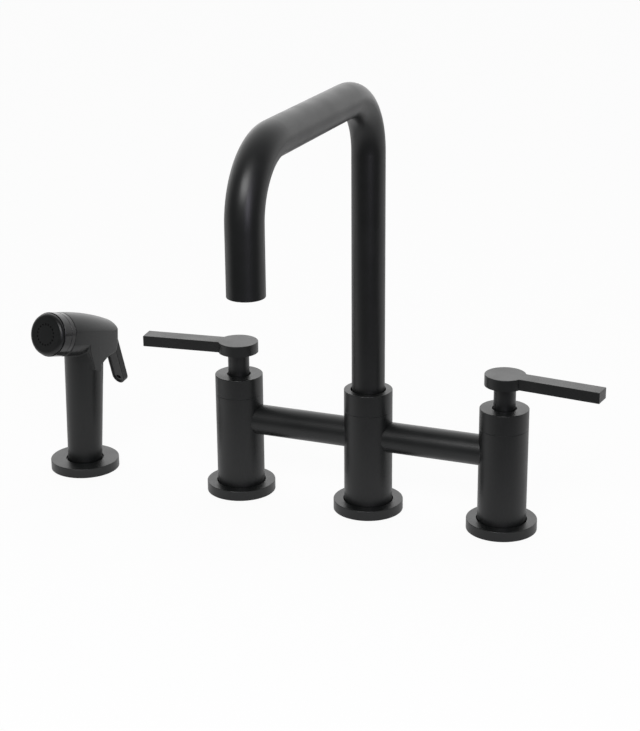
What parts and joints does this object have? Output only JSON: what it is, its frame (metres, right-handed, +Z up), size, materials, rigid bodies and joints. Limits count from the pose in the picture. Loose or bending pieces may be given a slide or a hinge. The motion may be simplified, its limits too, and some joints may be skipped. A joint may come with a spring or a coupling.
{
  "type": "bridge kitchen faucet",
  "caption": "Bridge kitchen faucet with lever handles on round columns, a square-cornered high spout that swivels, and a separate pull-up side sprayer with a rear trigger.",
  "frame": {"origin": "on the deck at the foot of the middle column, on the axis that the spout swivels about", "axes": "+Z up, the spout points to -Y towards the user, +X towards the cold valve, which is on the right as the user sees it"},
  "size_m": [0.4322, 0.2609, 0.3203],
  "materials": {
    "matte_black": "matte powder coat",
    "black_plastic": "matte",
    "rubber": "matte",
    "bearing_plastic": "satin",
    "brass": "machined",
    "steel": "brushed",
    "ceramic": "lapped"
  },
  "bodies": {
    "base": {"left_flange": "matte_black", "left_gasket": "rubber", "left_valve_body": "matte_black", "left_bonnet": "matte_black", "left_glide_ring": "bearing_plastic", "left_cartridge_shell": "brass", "left_seat_seal": "rubber", "left_fixed_disc": "ceramic", "right_flange": "matte_black", "right_gasket": "rubber", "right_valve_body": "matte_black", "right_bonnet": "matte_black", "right_glide_ring": "bearing_plastic", "right_cartridge_shell": "brass", "right_seat_seal": "rubber", "right_fixed_disc": "ceramic", "left_bridge_tube": "matte_black", "right_bridge_tube": "matte_black", "bridge_seals": "rubber", "centre_flange": "matte_black", "centre_gasket": "rubber", "centre_body": "matte_black", "spout_collar": "matte_black", "spout_bearing_ring": "bearing_plastic", "diverter_cage": "brass", "diverter_spring": "steel", "spray_holder": "matte_black", "spray_gasket": "rubber", "spray_guide": "bearing_plastic"},
    "spout": {"spout_tube": "matte_black", "spout_base": "brass", "spout_seals": "rubber", "aerator_shell": "bearing_plastic", "aerator_screen": "steel", "aerator_washer": "rubber"},
    "hot_handle": {"left_handle": "matte_black", "left_handle_screw": "steel", "left_spindle": "brass", "left_spindle_seal": "rubber", "left_spindle_clip": "steel", "left_moving_disc": "ceramic"},
    "cold_handle": {"right_handle": "matte_black", "right_handle_screw": "steel", "right_spindle": "brass", "right_spindle_seal": "rubber", "right_spindle_clip": "steel", "right_moving_disc": "ceramic"},
    "sprayer": {"spray_body": "black_plastic", "spray_inlet": "brass", "nozzle_ring": "black_plastic", "nozzle_face": "black_plastic", "nozzle_diffuser": "bearing_plastic", "trigger_pin": "steel", "spray_spring": "steel"},
    "trigger": {"trigger": "black_plastic"},
    "spray_valve": {"spray_plunger": "brass", "plunger_seal": "rubber"},
    "diverter": {"diverter_piston": "bearing_plastic"}
  },
  "joints": [
    {"name": "spout_swivel", "type": "hinge", "parent": "base", "child": "spout", "pos_m": [0, 0, 0.08], "axis": [0, 0, 1], "continuous": true},
    {"name": "hot_handle_turn", "type": "hinge", "parent": "base", "child": "hot_handle", "pos_m": [-0.1016, 0, 0.1], "axis": [0, 0, 1], "range_deg": [0, 90]},
    {"name": "cold_handle_turn", "type": "hinge", "parent": "base", "child": "cold_handle", "pos_m": [0.1016, 0, 0.1], "axis": [0, 0, -1], "range_deg": [0, 90]},
    {"name": "sprayer_lift", "type": "slide", "parent": "base", "child": "sprayer", "axis": [0.0436, 0, 0.999], "range_m": [0, 0.12]},
    {"name": "trigger_squeeze", "type": "hinge", "parent": "sprayer", "child": "trigger", "pos_m": [-0.22237, 0.02316, 0.10422], "axis": [-0.973, 0.2267, 0.0425], "range_deg": [0, 15], "stiffness_Nm_per_rad": 0.3},
    {"name": "plunger_slide", "type": "slide", "parent": "sprayer", "child": "spray_valve", "axis": [-0.2086, -0.9438, 0.2563], "range_m": [0, 0.00117], "deforming": ["spray_spring"]},
    {"name": "diverter_slide", "type": "slide", "parent": "base", "child": "diverter", "axis": [0, 0, -1], "range_m": [0, 0.002], "stiffness_N_per_m": 500, "springref_m": -0.002, "deforming": ["diverter_spring"]}
  ],
  "couplings": [
    {"joint": "trigger_squeeze", "follows": "plunger_slide", "rad_per_m": 208.33}
  ]
}
